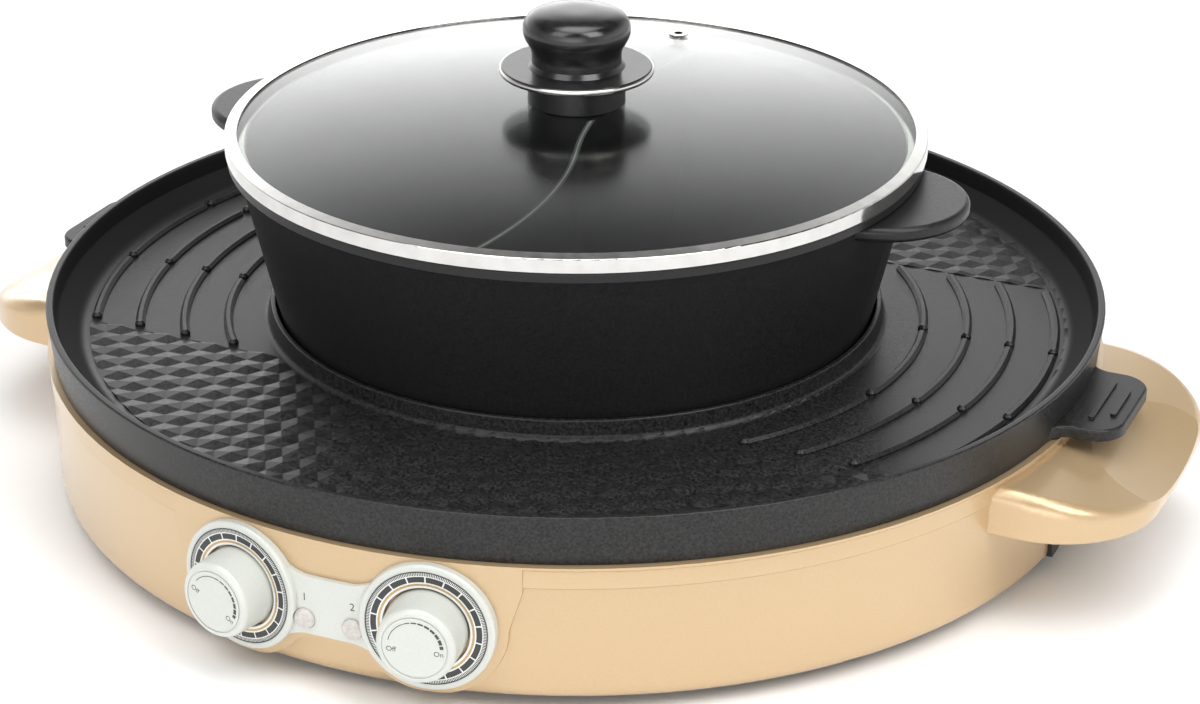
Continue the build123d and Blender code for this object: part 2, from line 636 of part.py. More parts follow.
def hot_plate():
    """Cast plate with two shallow ring grooves on top and a groove for its tube underneath."""
    top = HOT_PLATE_Z + HOT_PLATE_T
    plate = drum(HOT_PLATE_R, HOT_PLATE_Z, top)
    plate = chamfer(plate.edges(), HOT_PLATE_CHAMFER)
    for inset in HOT_PLATE_GROOVE_INSETS:
        radius = HOT_PLATE_R - inset
        plate -= drum(radius + HOT_PLATE_GROOVE_W, top - HOT_PLATE_GROOVE_D, top) - drum(
            radius, top - HOT_PLATE_GROOVE_D, top)
    return plate - Pos(0, 0, HOT_PLATE_Z) * Torus(PLATE_TUBE_R, TUBE_R + FIT)


def hot_plate_tube():
    """Sheathed tube set half deep into the underside of the hot plate, with two legs at the back."""
    gap = PLATE_TUBE_GAP_AZIMUTH
    first = leg_azimuth(PLATE_TUBE_R, -180 + gap, PLATE_TUBE_BEND_R)
    last = 360 - 180 - gap - degrees(asin(PLATE_TUBE_BEND_R / PLATE_TUBE_R))
    ring = arc_on(PLATE_TUBE_R, HOT_PLATE_Z, first, last)
    start = leg(tuple(ring @ 0), tuple(-(ring % 0)), PLATE_TUBE_END_Z, PLATE_TUBE_BEND_R)
    end = leg(tuple(ring @ 1), tuple(ring % 1), PLATE_TUBE_END_Z, PLATE_TUBE_BEND_R)
    return tube_from_end(Wire([*start, ring, *end]), start[1] @ 1)


def hot_plate_posts():
    """Spacers that hold the hot plate above the well of the tray."""
    post = drum(POST_R, WELL_FLOOR_Z, HOT_PLATE_Z)
    return [around(i * 360 / POST_COUNT, POST_RING_R) * post for i in range(POST_COUNT)]


def thermal_cutout():
    """Safety cut-out pressed against the middle of the hot plate's underside."""
    body = drum(CUTOUT_R, HOT_PLATE_Z - CUTOUT_T, HOT_PLATE_Z)
    ear = slab((-2 * CUTOUT_R, -BLADE_W / 2, HOT_PLATE_Z - BLADE_T), (2 * CUTOUT_R, BLADE_W / 2, HOT_PLATE_Z))
    return body + ear


def thermostat(azimuth):
    """Rotary thermostat: fixing plate, switch body, threaded bush and two terminal blades."""
    back = THERMOSTAT_FACE - THERMOSTAT_PLATE_T
    rear = back - THERMOSTAT_DEPTH
    body = Pos(0, 0, back) * Box(THERMOSTAT_PLATE_W, THERMOSTAT_PLATE_H, THERMOSTAT_PLATE_T,
                                 align=(Align.CENTER, Align.CENTER, Align.MIN))
    body += peg(THERMOSTAT_R, rear, back)
    body += peg(THERMOSTAT_BUSH_R, THERMOSTAT_FACE, TONGUE_R + NUT_T)
    for x in (-BLADE_OFFSET, BLADE_OFFSET):
        body += Pos(x, 0, rear - BLADE_L) * Box(BLADE_T, BLADE_W, BLADE_L,
                                                align=(Align.CENTER, Align.CENTER, Align.MIN))
    body -= peg(SHAFT_R + RUNNING, back - THERMOSTAT_DEPTH / 2, DIAL_KNOB_FACE)
    return panel_place(azimuth, DIAL_Z) * body


def thermostat_shaft(azimuth):
    """Round shaft with a flat at its knob end."""
    end = DIAL_KNOB_FACE - DIAL_KNOB_FACE_T - FIT
    shaft = peg(SHAFT_R, THERMOSTAT_FACE - THERMOSTAT_PLATE_T - THERMOSTAT_DEPTH / 2 + FIT, end)
    flat_start = TONGUE_R + NUT_T + 2 * FIT
    flat = slab((-SHAFT_R, SHAFT_R - SHAFT_FLAT, flat_start), (SHAFT_R, SHAFT_R, end))
    return panel_place(azimuth, DIAL_Z) * (shaft - flat)


def thermostat_nuts():
    """Hexagon nuts that clamp the thermostat bushes to the panel."""
    face = RegularPolygon(NUT_R, 6) - Circle(THERMOSTAT_BUSH_R + FIT)
    nut = Pos(0, 0, TONGUE_R + FIT) * extrude(face, amount=NUT_T - FIT)
    return [panel_place(azimuth, DIAL_Z) * nut for azimuth in (-DIAL_AZIMUTH, DIAL_AZIMUTH)]


def control_trim():
    """Silver dumbbell plate: two flat round lobes for the dials and a curved waist for the lamps."""
    seat_r = TONGUE_R + FIT
    face = Rectangle(2 * DIAL_OFFSET, TRIM_WAIST_H)
    for x in (-DIAL_OFFSET, DIAL_OFFSET):
        face += Pos(x, 0) * Circle(TRIM_LOBE_R - TRIM_WAIST_INSET)
    face = fillet(face.vertices(), TRIM_WAIST_R)
    block = Pos(0, 0, DIAL_Z) * extrude(Plane.XZ * face, amount=TRIM_FACE)
    core = drum(seat_r, 0, 2 * BASE_TOP_Z)
    trim = block & (drum(seat_r + TRIM_T, 0, 2 * BASE_TOP_Z) - core)
    for azimuth in (-DIAL_AZIMUTH, DIAL_AZIMUTH):
        lobe = peg(TRIM_LOBE_R, seat_r - TRIM_LOBE_R / 4, TRIM_FACE)
        lobe = fillet(lobe.edges().group_by(Axis.Z)[-1], TRIM_ROUND)
        trim += panel_place(azimuth, DIAL_Z) * lobe - core
    for azimuth in (-DIAL_AZIMUTH, DIAL_AZIMUTH):
        place = panel_place(azimuth, DIAL_Z)
        trim -= place * peg(DIAL_RING_R + FIT, TRIM_FACE - DIAL_RING_T, DIAL_KNOB_FACE)
        trim -= place * peg(DIAL_RING_INNER_R, 0, DIAL_KNOB_FACE)
    for azimuth in (-LAMP_AZIMUTH, LAMP_AZIMUTH):
        trim -= panel_place(azimuth, LAMP_Z) * peg(LAMP_R + FIT, 0, DIAL_KNOB_FACE)
    return trim


def dial_ring(azimuth):
    """Printed ring let into a lobe of the trim plate, round a knob."""
    ring = peg(DIAL_RING_R, TRIM_FACE - DIAL_RING_T, TRIM_FACE) - peg(
        DIAL_RING_INNER_R, TRIM_FACE - DIAL_RING_T, TRIM_FACE)
    return panel_place(azimuth, DIAL_Z) * ring


def dial_knob(azimuth):
    """Hollow moulded knob with a rounded front edge, a fine ring groove and a hub that takes the shaft."""
    rear = TONGUE_R + NUT_T
    groove_r = DIAL_KNOB_FRONT_R - DIAL_KNOB_ROUND - DIAL_KNOB_GROOVE_W / 2
    groove_floor = DIAL_KNOB_FACE - DIAL_KNOB_GROOVE_D
    inner_front = DIAL_KNOB_FACE - DIAL_KNOB_FACE_T
    points = [(0, inner_front), (DIAL_KNOB_FRONT_R - DIAL_KNOB_WALL, inner_front),
              (DIAL_KNOB_R - DIAL_KNOB_WALL, rear), (DIAL_KNOB_R, rear),
              (DIAL_KNOB_FRONT_R, DIAL_KNOB_FACE), (0, DIAL_KNOB_FACE)]
    knob = turned(points, {4: DIAL_KNOB_ROUND})
    knob -= peg(groove_r, groove_floor, DIAL_KNOB_FACE) - peg(
        groove_r - DIAL_KNOB_GROOVE_W, groove_floor, DIAL_KNOB_FACE)
    knob += peg(DIAL_HUB_R, rear + NUT_T, inner_front)
    bore = peg(SHAFT_R + FIT, 0, inner_front)
    flat = slab((-DIAL_HUB_R, SHAFT_R - SHAFT_FLAT + FIT, 0), (DIAL_HUB_R, DIAL_HUB_R, inner_front))
    return panel_place(azimuth, DIAL_Z) * (knob - (bore - flat))


def lamp_lens(azimuth):
    """Clear lens with a domed front."""
    lens = peg(LAMP_R, LAMP_BACK, LAMP_FACE)
    lens = fillet(lens.edges().group_by(Axis.Z)[-1], LAMP_DOME_R)
    return panel_place(azimuth, LAMP_Z) * lens


def neon_lamps():
    """Neon lamps behind the two lenses."""
    bulb = peg(NEON_R, LAMP_BACK - SEAT - NEON_LENGTH, LAMP_BACK - SEAT)
    bulb = fillet(bulb.edges(), NEON_R / 2)
    return [panel_place(azimuth, LAMP_Z) * bulb for azimuth in (-LAMP_AZIMUTH, LAMP_AZIMUTH)]


def pin_places():
    return [(INLET_Y + step * PIN_PITCH, INLET_Z - PIN_DROP) for step in (-1, 0, 1)]


def power_inlet():
    """Black inlet with a deep recess for the lead's connector."""
    half = INLET_W / 2
    block = slab((INLET_BACK_X, INLET_Y - half, INLET_Z - INLET_H / 2),
                 (INLET_FACE_X, INLET_Y + half, INLET_Z + INLET_H / 2))
    block = fillet(block.edges().filter_by(Axis.X), INLET_EDGE_R)
    recess = slab((INLET_FACE_X - INLET_RECESS_D, INLET_Y - INLET_RECESS_W / 2, INLET_Z - INLET_RECESS_H / 2),
                  (INLET_FACE_X, INLET_Y + INLET_RECESS_W / 2, INLET_Z + INLET_RECESS_H / 2))
    block -= fillet(recess.edges().filter_by(Axis.X), INLET_RECESS_R)
    for y, z in pin_places():
        block -= Pos(0, y, z) * (Rot(0, 90, 0) * drum(PIN_R + FIT, 0, INLET_FACE_X))
    return block


def inlet_pins():
    """Three round contact pins."""
    pin = drum(PIN_R, INLET_BACK_X - PIN_TAIL, INLET_FACE_X - PIN_TIP)
    pin = fillet(pin.edges().group_by(Axis.Z)[-1], PIN_R / 2)
    return [Pos(0, y, z) * (Rot(0, 90, 0) * pin) for y, z in pin_places()]


def terminal_place():
    """Plan place of the terminal block's middle."""
    place = around(TERMINAL_AZIMUTH, TERMINAL_RING_R).position
    return place.X, place.Y


def terminal_block():
    """Ceramic block with three clamp holes."""
    x, y = terminal_place()
    block = Pos(x, y, COVER_TOP_Z) * Box(TERMINAL_W, TERMINAL_L, TERMINAL_H,
                                         align=(Align.CENTER, Align.CENTER, Align.MIN))
    block = chamfer(block.edges().filter_by(Axis.Z), TERMINAL_CHAMFER)
    for step in (-1, 0, 1):
        block -= Pos(x, y + step * TERMINAL_PITCH, 0) * drum(
            TERMINAL_HOLE_R, COVER_TOP_Z + TERMINAL_H / 2, COVER_TOP_Z + TERMINAL_H)
    return block


def blade_tip(azimuth, x):
    """Rear end of a thermostat's terminal blade."""
    rear = THERMOSTAT_FACE - THERMOSTAT_PLATE_T - THERMOSTAT_DEPTH - BLADE_L
    return panel_place(azimuth, DIAL_Z).from_local_coords(Vector(x, 0, rear - FIT))


def wire(*points, bend=WIRE_BEND_R):
    return tube(FilletPolyline(*points, radius=bend), WIRE_R)


def wiring():
    """Insulated wires between the inlet, the terminal block, the thermostats and the heating tubes."""
    x, y = terminal_place()
    block_z = COVER_TOP_Z + TERMINAL_H / 2
    low_z = COVER_TOP_Z + 1.5 * WIRE_R
    face_x = x + TERMINAL_W / 2 + FIT
    back_x = x - TERMINAL_W / 2 - FIT
    run_x = back_x - 2 * WIRE_BEND_R
    tail_x = INLET_BACK_X - PIN_TAIL - FIT
    wires = []
    for step, (pin_y, pin_z) in zip((-1, 0, 1), pin_places()):
        end_y = y + step * TERMINAL_PITCH
        turn_x = (face_x + tail_x) / 2 - step * 4 * WIRE_R
        wires.append(wire((tail_x, pin_y, pin_z), (turn_x, pin_y, pin_z), (turn_x, end_y, block_z),
                          (face_x, end_y, block_z)))
    for step, azimuth in ((-1, DIAL_AZIMUTH), (0, -DIAL_AZIMUTH)):
        tip = blade_tip(azimuth, BLADE_OFFSET)
        inward = Vector(-sin(radians(azimuth)), cos(radians(azimuth)), 0)
        bend = tip + inward * 2 * WIRE_BEND_R
        start_y = y + step * TERMINAL_PITCH
        wires.append(wire((back_x, start_y, block_z), (run_x, start_y, block_z),
                          (bend.X, bend.Y, block_z), tuple(bend), tuple(tip)))
    legs = ((1, grill_tube_ends()[0], GRILL_TUBE_END_Z), (0, plate_tube_ends()[1], PLATE_TUBE_END_Z))
    for step, (leg_x, leg_y), end_z in legs:
        end_y = y + step * TERMINAL_PITCH
        room = end_z - 2 * FIT - low_z
        wires.append(wire((leg_x, leg_y, end_z - FIT), (leg_x, leg_y, low_z), (run_x, end_y, low_z),
                          (back_x, end_y, low_z), bend=min(WIRE_BEND_R, room)))
    return wires


def rib_radii():
    """Radii of the rings of ribs, from the outermost inwards to the last that clears the collar."""
    first = PAN_FLOOR_R - RIB_EDGE
    room = first - COLLAR_R - RIB_COLLAR_GAP
    return [first - index * RIB_PITCH for index in range(int(room / RIB_PITCH) + 1)]


def grill_rib(radius, first, last):
    """A low round-topped rib along an arc that runs out of a bead at its front end."""
    low = PAN_FLOOR_Z - RIB_H
    top = PAN_FLOOR_Z + RIB_H
    shoulder = PAN_FLOOR_Z + RIB_H / 3
    profile = [(radius - RIB_W / 2, low), (radius + RIB_W / 2, low), (radius + RIB_W / 2, shoulder),
               (radius + RIB_W / 5, top), (radius - RIB_W / 5, top), (radius - RIB_W / 2, shoulder)]
    face = Plane.XZ * make_face(Polyline(*profile, close=True))
    bead_at = first + degrees(BEAD_R / radius)
    end = last - degrees(RIB_GAP / radius)
    bar = revolve(Rot(0, 0, bead_at - 90) * face, Axis.Z, end - bead_at)
    bead_top = PAN_FLOOR_Z + BEAD_H
    bead = turned([(0, low), (BEAD_R, low), (BEAD_R, PAN_FLOOR_Z + BEAD_H / 2), (BEAD_R / 2, bead_top),
                   (0, bead_top)])
    return [bar, around(bead_at, radius) * bead]


def grill_ribs():
    """Rings of ribs on both sides of the pan, each ring in equal segments."""
    ribs = []
    for radius in rib_radii():
        half = degrees(asin(RIB_SPAN_HALF / radius))
        step = 2 * half / RIB_SEGMENTS
        for index in range(RIB_SEGMENTS):
            first = 90 - half + index * step
            right = grill_rib(radius, first, first + step)
            ribs += right
            ribs += [mirror(piece, Plane.YZ) for piece in right]
    return ribs


def on_relief_field(x, y):
    """Whether a place lies on the bare floor in front of or behind the ribs."""
    radius = hypot(x, y)
    on_floor = COLLAR_R + RELIEF_MARGIN < radius < PAN_FLOOR_R - RELIEF_MARGIN
    return on_floor and abs(y) > RIB_SPAN_HALF + RELIEF_MARGIN


def relief_field():
    """The space over the bare floor in front of and behind the ribs."""
    low = PAN_FLOOR_Z - PAN_FLOOR_T
    high = PAN_FLOOR_Z + PAN_FLOOR_T
    reach = RIB_SPAN_HALF + RELIEF_MARGIN
    ring = drum(PAN_FLOOR_R - RELIEF_MARGIN, low, high) - drum(COLLAR_R + RELIEF_MARGIN, low, high)
    return ring - slab((-PAN_FLOOR_R, -reach, low), (PAN_FLOOR_R, reach, high))


def relief():
    """Shallow hexagon pyramids with a fine groove between them, cut off at the edge of their field."""
    size = RELIEF_PITCH / sqrt(3) - RELIEF_GROOVE
    base = RegularPolygon(size, 6)
    root = Pos(0, 0, PAN_FLOOR_Z - RELIEF_H) * extrude(base, amount=RELIEF_H)
    cap = loft([Pos(0, 0, PAN_FLOOR_Z) * base.face(), Vertex(0, 0, PAN_FLOOR_Z + RELIEF_H)])
    cell = root + cap
    field = relief_field()
    column = RELIEF_PITCH * sqrt(3) / 2
    count = int(PAN_FLOOR_R / column) + 1
    cells = []
    for i in range(-count, count + 1):
        for j in range(-count, count + 1):
            x = RELIEF_START[0] + i * column
            y = RELIEF_START[1] + (j + (i % 2) / 2) * RELIEF_PITCH
            inside = [on_relief_field(x + size * cos(radians(a)), y + size * sin(radians(a)))
                      for a in range(0, 360, 60)]
            if all(inside):
                cells.append(Pos(x, y) * cell)
            elif sum(inside) > 1:
                cells.append(Pos(x, y) * cell & field)
    return cells


def pan_tab():
    """Flat lifting tab at the +X side, flared into the pan wall and with two grip ribs."""
    inner = PAN_SKIRT_R - PAN_WALL_T
    face = make_face(Polyline((inner - TAB_HALF, -TAB_HALF), (TAB_REACH, -TAB_HALF),
                              (TAB_REACH, TAB_HALF), (inner - TAB_HALF, TAB_HALF), close=True))
    face = fillet(face.vertices().group_by(Axis.X)[-1], TAB_CORNER_R)
    face = face + Circle(PAN_SKIRT_R) - Circle(inner)
    roots = face.vertices().filter_by(lambda v: v.X > 0 and abs(abs(v.Y) - TAB_HALF) < 0.01
                                      and abs(hypot(v.X, v.Y) - PAN_SKIRT_R) < 0.01)
    face = fillet(roots, TAB_FLARE_R)
    tab = Pos(0, 0, TAB_TOP_Z - TAB_T) * extrude(face, amount=TAB_T)
    tab = tab & slab((0, -2 * TAB_HALF, 0), (TAB_REACH, 2 * TAB_HALF, PAN_RIM_Z))
    outer_edges = tab.edges().group_by(Axis.Z)[-1].filter_by(lambda e: e.center().X > PAN_RIM_R + RIM_LIP)
    tab = fillet(outer_edges, TAB_EDGE_R)
    for inset, length in TAB_BARS:
        bar = extrude(SlotOverall(length, TAB_BAR_W, rotation=90), amount=2 * TAB_BAR_H)
        tab += Pos(TAB_REACH - inset, 0, TAB_TOP_Z - TAB_BAR_H) * bar
    return tab


def grill_pan():
    """Cast pan: skirt wall, stepped trough, floor with ribs and relief, central collar, two lifting tabs."""
    underside = PAN_FLOOR_Z - PAN_FLOOR_T
    rim_inner = PAN_RIM_R - PAN_WALL_T
    skirt_inner = PAN_SKIRT_R - PAN_WALL_T
    step_r = rim_inner - PAN_STEP_W
    points = [
        (PAN_RIM_R, PAN_RIM_Z), (rim_inner, PAN_RIM_Z), (step_r, PAN_STEP_Z), (step_r - PAN_STEP_W, PAN_STEP_Z),
        (PAN_FLOOR_R, PAN_FLOOR_Z), (COLLAR_R, PAN_FLOOR_Z), (COLLAR_R - COLLAR_T / 4, COLLAR_TOP_Z),
        (COLLAR_INNER_R, COLLAR_TOP_Z), (COLLAR_INNER_R, COLLAR_BOTTOM_Z), (COLLAR_R, COLLAR_BOTTOM_Z),
        (COLLAR_R, underside), (PAN_FLOOR_R, underside), (skirt_inner, PAN_STEP_Z - PAN_FLOOR_T),
        (skirt_inner, PAN_SKIRT_Z), (PAN_SKIRT_R, PAN_SKIRT_Z),
    ]
    pan = turned(points, {0: PAN_EDGE_R, 1: PAN_EDGE_R, 4: GUTTER_ROUND, 5: COLLAR_FOOT_R, 6: PAN_EDGE_R,
                          7: PAN_EDGE_R})
    pan += both_sides(pan_tab())
    return pan + (grill_ribs() + relief())


def pot_ear():
    """Flat round ear at the +X side, ending at the pot wall."""
    ear = Pos(EAR_CENTRE_X, 0, 0) * drum(EAR_R, EAR_TOP_Z - EAR_T, EAR_TOP_Z)
    ear = fillet(ear.edges().filter_by(GeomType.CIRCLE), EAR_ROUND)
    return ear - drum(pot_outer_r(EAR_TOP_Z - EAR_T) - POT_WALL_T / 2, 0, POT_RIM_Z)


def pot_cavity(gap):
    """The space inside the pot, drawn in by a gap."""
    floor = POT_BOTTOM_Z + POT_FLOOR_T
    low_r = pot_outer_r(floor) - POT_WALL_T - gap
    high_r = pot_outer_r(POT_RIM_Z) - POT_WALL_T - gap
    inner_round = POT_BOTTOM_ROUND - POT_WALL_T
    points = [(0, floor + gap), (low_r, floor + gap), (high_r, POT_RIM_Z), (0, POT_RIM_Z)]
    return turned(points, {1: inner_round})


def pot():
    """Cast pot with a tapering wall, a lip under the lid and two ears."""
    lip_z = POT_RIM_Z - POT_LIP_H
    points = [(0, POT_BOTTOM_Z), (POT_BOTTOM_R, POT_BOTTOM_Z), (pot_outer_r(lip_z), lip_z),
              (POT_LIP_R, lip_z + POT_LIP_H / 4), (POT_LIP_R, POT_RIM_Z), (0, POT_RIM_Z)]
    body = turned(points, {1: POT_BOTTOM_ROUND, 4: POT_LIP_ROUND})
    return body + both_sides(pot_ear()) - pot_cavity(0)


def pot_divider():
    """S-shaped wall across the pot: two arcs that meet at the middle."""
    reach = pot_outer_r(POT_RIM_Z)
    half = DIVIDER_T / 2
    sides = []
    for offset in (-half, half):
        front = ThreePointArc((offset, -reach), (DIVIDER_SWAY + offset, -reach / 2), (offset, 0))
        back = ThreePointArc((offset, 0), (-DIVIDER_SWAY + offset, reach / 2), (offset, reach))
        sides.append((front, back))
    (left_front, left_back), (right_front, right_back) = sides
    front_end = Line(left_front @ 0, right_front @ 0)
    back_end = Line(left_back @ 1, right_back @ 1)
    face = make_face([left_front, left_back, right_front, right_back, front_end, back_end])
    wall = extrude(face, amount=DIVIDER_TOP_Z)
    return wall & pot_cavity(SEAT)


def glass_rise(radius):
    """Height of the glass's outer face at a radius, on one round arc from rim to crown."""
    bow = (GLASS_RIM_R ** 2 + GLASS_RISE ** 2) / (2 * GLASS_RISE)
    return GLASS_TOP_Z - bow + sqrt(bow ** 2 - radius ** 2)


def lid_glass():
    """Domed glass disc with a hole for the knob's screw and one for the steam vent."""
    flat_r = GLASS_RIM_R - BAND_GRIP_W
    outer = ThreePointArc((0, GLASS_TOP_Z), (flat_r / 2, glass_rise(flat_r / 2)), (flat_r, glass_rise(flat_r)))
    drop = glass_rise(flat_r)
    rim = Polyline((flat_r, drop), (GLASS_RIM_R, GLASS_RIM_Z), (GLASS_RIM_R, GLASS_RIM_Z - GLASS_T),
                   (flat_r, drop - GLASS_T))
    inner = ThreePointArc((flat_r, drop - GLASS_T), (flat_r / 2, glass_rise(flat_r / 2) - GLASS_T),
                          (0, GLASS_TOP_Z - GLASS_T))
    axis_line = Line((0, GLASS_TOP_Z - GLASS_T), (0, GLASS_TOP_Z))
    face = make_face([outer, *rim.edges(), inner, axis_line])
    glass = revolve(Plane.XZ * face, Axis.Z)
    glass -= drum(LID_HOLE_R, 0, GLASS_TOP_Z)
    return glass - Pos(0, VENT_Y, 0) * drum(VENT_HOLE_R, 0, GLASS_TOP_Z)


def lid_band():
    """Rolled steel band round the glass, with a skirt that drops inside the pot's rim."""
    outer = BAND_R
    inner = BAND_R - BAND_T
    grip = BAND_R - BAND_GRIP_W + BAND_T
    low = BAND_Z
    high = BAND_Z + BAND_H
    skirt_r = pot_outer_r(POT_RIM_Z - BAND_SKIRT_H) - POT_WALL_T - POT_PLAY
    grip_z = glass_rise(grip) + FIT
    points = [(outer, low), (outer, high), (grip, grip_z + BAND_T), (grip, grip_z),
              (inner, high - BAND_T), (inner, low + BAND_T), (skirt_r, low + BAND_T),
              (skirt_r - BAND_T, low), (skirt_r - BAND_T, low - BAND_SKIRT_H), (skirt_r, low - BAND_SKIRT_H),
              (skirt_r, low)]
    return turned(points, {1: BAND_T / 2})


def lid_knob_base():
    """Finger guard disc on a collar that stands on the glass."""
    foot = GLASS_TOP_Z + FIT
    top = KNOB_FOOT_Z
    points = [(LID_SCREW_R + FIT, foot), (KNOB_COLLAR_R, foot), (KNOB_COLLAR_R, KNOB_DISC_Z),
              (KNOB_DISC_R, KNOB_DISC_Z), (KNOB_DISC_R, top), (LID_SCREW_R + FIT, top)]
    return turned(points, {2: KNOB_COLLAR_ROUND, 3: KNOB_DISC_T / 3, 4: KNOB_DISC_T / 3})


def lid_knob():
    """Turned-looking knob: flared foot, waisted neck and a round cap."""
    foot = KNOB_FOOT_Z
    flare_r = KNOB_NECK_R + KNOB_FOOT_FLARE
    flare_z = foot + KNOB_FOOT_H
    neck_z = foot + KNOB_NECK_H
    profile = [
        Line((0, foot), (flare_r, foot)),
        Line((flare_r, foot), (KNOB_NECK_R, flare_z)),
        Line((KNOB_NECK_R, flare_z), (KNOB_NECK_R, neck_z)),
        Spline((KNOB_NECK_R, neck_z), (KNOB_CAP_R, KNOB_CAP_Z), tangents=[(0, 1), (0, 1)]),
        Spline((KNOB_CAP_R, KNOB_CAP_Z), (KNOB_CROWN_R, KNOB_TOP_Z - KNOB_CROWN_DROP), (0, KNOB_TOP_Z),
               tangents=[(0, 1), (-1, 0)]),
        Line((0, KNOB_TOP_Z), (0, foot)),
    ]
    knob = revolve(Plane.XZ * make_face(profile), Axis.Z)
    return knob - drum(LID_SCREW_R + FIT, 0, KNOB_CAP_Z)


def lid_washer():
    """Soft washer between the screw head and the underside of the glass."""
    top = glass_rise(LID_WASHER_R) - GLASS_T - FIT
    return drum(LID_WASHER_R, top - LID_WASHER_T, top) - drum(LID_SCREW_R + FIT, 0, GLASS_TOP_Z)


def lid_screw():
    """Screw that holds the knob from under the glass."""
    seat = glass_rise(LID_WASHER_R) - GLASS_T - FIT - LID_WASHER_T
    head = drum(LID_SCREW_HEAD_R, seat - LID_SCREW_HEAD_H, seat)
    head = fillet(head.edges().group_by(Axis.Z)[0], LID_SCREW_HEAD_H / 3)
    return head + drum(LID_SCREW_R, seat, KNOB_CAP_Z - SEAT)


def steam_vent():
    """Steel eyelet through the vent hole, flanged above and below the glass."""
    top = glass_rise(VENT_Y - GROMMET_FLANGE_R) + FIT
    low = glass_rise(VENT_Y + GROMMET_FLANGE_R) - GLASS_T - FIT
    outer = VENT_HOLE_R - FIT
    inner = VENT_HOLE_R - GROMMET_WALL
    foot = low - GROMMET_FLANGE_T
    crown = top + GROMMET_FLANGE_T
    points = [(inner, foot), (GROMMET_FLANGE_R, foot), (GROMMET_FLANGE_R, low), (outer, low), (outer, top),
              (GROMMET_FLANGE_R, top), (GROMMET_FLANGE_R, crown), (inner, crown)]
    return Pos(0, VENT_Y, 0) * turned(points)


NODES = {
    "base_housing": base_housing,
    "bottom_cover": bottom_cover,
    "cover_screws": cover_screws,
    "rubber_feet": rubber_feet,
    "reflector_tray": reflector_tray,
    "grill_heating_tube": grill_heating_tube,
    "tube_brackets": tube_brackets,
    "hot_plate": hot_plate,
    "hot_plate_tube": hot_plate_tube,
    "hot_plate_posts": hot_plate_posts,
    "thermal_cutout": thermal_cutout,
    "hotpot_thermostat": lambda: thermostat(-DIAL_AZIMUTH),
    "grill_thermostat": lambda: thermostat(DIAL_AZIMUTH),
    "hotpot_shaft": lambda: thermostat_shaft(-DIAL_AZIMUTH),
    "grill_shaft": lambda: thermostat_shaft(DIAL_AZIMUTH),
    "thermostat_nuts": thermostat_nuts,
    "control_trim": control_trim,
    "hotpot_dial_ring": lambda: dial_ring(-DIAL_AZIMUTH),
    "grill_dial_ring": lambda: dial_ring(DIAL_AZIMUTH),
    "hotpot_knob": lambda: dial_knob(-DIAL_AZIMUTH),
    "grill_knob": lambda: dial_knob(DIAL_AZIMUTH),
    "hotpot_lamp_lens": lambda: lamp_lens(-LAMP_AZIMUTH),
    "grill_lamp_lens": lambda: lamp_lens(LAMP_AZIMUTH),
    "neon_lamps": neon_lamps,
    "power_inlet": power_inlet,
    "inlet_pins": inlet_pins,
    "terminal_block": terminal_block,
    "wiring": wiring,
    "grill_pan": grill_pan,
    "pot": pot,
    "pot_divider": pot_divider,
    "lid_glass": lid_glass,
    "lid_band": lid_band,
    "lid_knob_base": lid_knob_base,
    "lid_knob": lid_knob,
    "lid_washer": lid_washer,
    "lid_screw": lid_screw,
    "steam_vent": steam_vent,
}

os.makedirs("parts", exist_ok=True)
for name, make in NODES.items():
    shape = make()
    if isinstance(shape, list):
        shape = Compound(children=[piece for piece in shape])
    export_step(shape, f"parts/{name}.step")
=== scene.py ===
import json
from math import asin, cos, degrees, pi, radians, sin

import bmesh
import bpy
from mathutils import Matrix, Vector


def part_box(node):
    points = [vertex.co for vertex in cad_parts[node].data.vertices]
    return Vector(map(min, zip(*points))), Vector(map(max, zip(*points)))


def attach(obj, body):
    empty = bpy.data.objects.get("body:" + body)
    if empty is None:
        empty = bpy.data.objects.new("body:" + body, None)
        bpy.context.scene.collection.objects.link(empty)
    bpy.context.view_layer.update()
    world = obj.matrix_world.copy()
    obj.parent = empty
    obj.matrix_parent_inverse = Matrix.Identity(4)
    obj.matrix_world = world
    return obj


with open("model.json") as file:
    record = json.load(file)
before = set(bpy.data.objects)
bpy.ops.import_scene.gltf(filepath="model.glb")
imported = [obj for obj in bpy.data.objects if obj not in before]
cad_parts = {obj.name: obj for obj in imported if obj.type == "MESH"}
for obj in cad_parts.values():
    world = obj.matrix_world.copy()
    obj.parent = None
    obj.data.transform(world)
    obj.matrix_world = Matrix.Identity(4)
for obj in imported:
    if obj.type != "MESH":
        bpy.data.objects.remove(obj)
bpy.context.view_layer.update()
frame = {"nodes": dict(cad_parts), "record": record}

# The looks of an electric hot pot grill: materials for every piece, printed marks, studio light and camera.
# Metres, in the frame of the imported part: +Z up, the controls face -Y, the wing handles lie along X.
MM = 0.001
FULL_TURN = 360.0
RING_STEPS = 96
MERGE_DIST = 0.001   # points nearer than this become one, in millimetres

# Camera, as fitted to the photograph: place in metres, roll in radians, lens and sensor in millimetres
CAMERA_PLACE = (0.4993, -1.1203, 0.6114)
CAMERA_FORWARD = (-0.3627, 0.8330, -0.4179)
CAMERA_RIGHT = (0.9169, 0.3992, 0.0)
CAMERA_ROLL = 0.005
CAMERA_FOCAL = 91.17
SENSOR_WIDTH = 36.0

